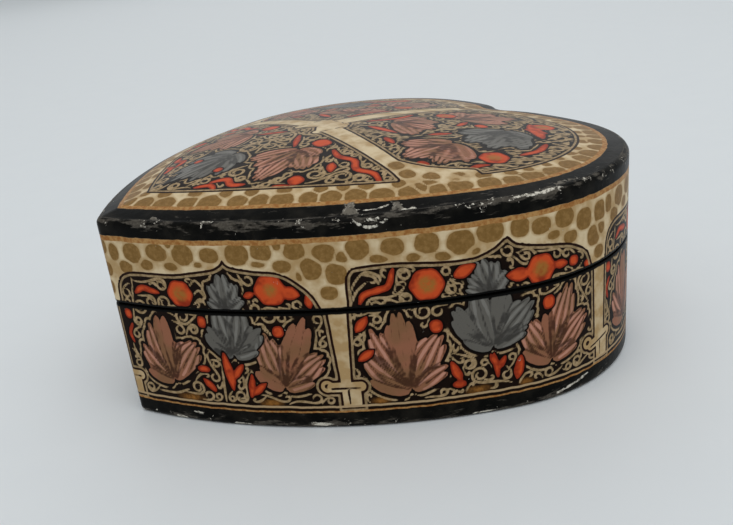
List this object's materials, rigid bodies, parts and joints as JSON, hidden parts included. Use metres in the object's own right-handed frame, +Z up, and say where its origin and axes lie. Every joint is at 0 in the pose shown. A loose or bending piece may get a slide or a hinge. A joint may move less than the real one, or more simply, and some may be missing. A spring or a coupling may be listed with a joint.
{
  "type": "trinket box",
  "caption": "Heart-shaped papier-mache trinket box with a low domed lift-off lid, painted with arched floral panels.",
  "frame": {"origin": "centre of the bounding box in plan, at the underside", "axes": "+Z up, +Y along the heart's axis of symmetry from the tip to the cleft, +X to the right-hand lobe seen from the tip"},
  "size_m": [0.0936, 0.0896, 0.042],
  "materials": {
    "base_board": "painted and varnished",
    "lid_board": "painted and varnished"
  },
  "bodies": {
    "root": {"base": "base_board", "lid": "lid_board"}
  },
  "joints": []
}
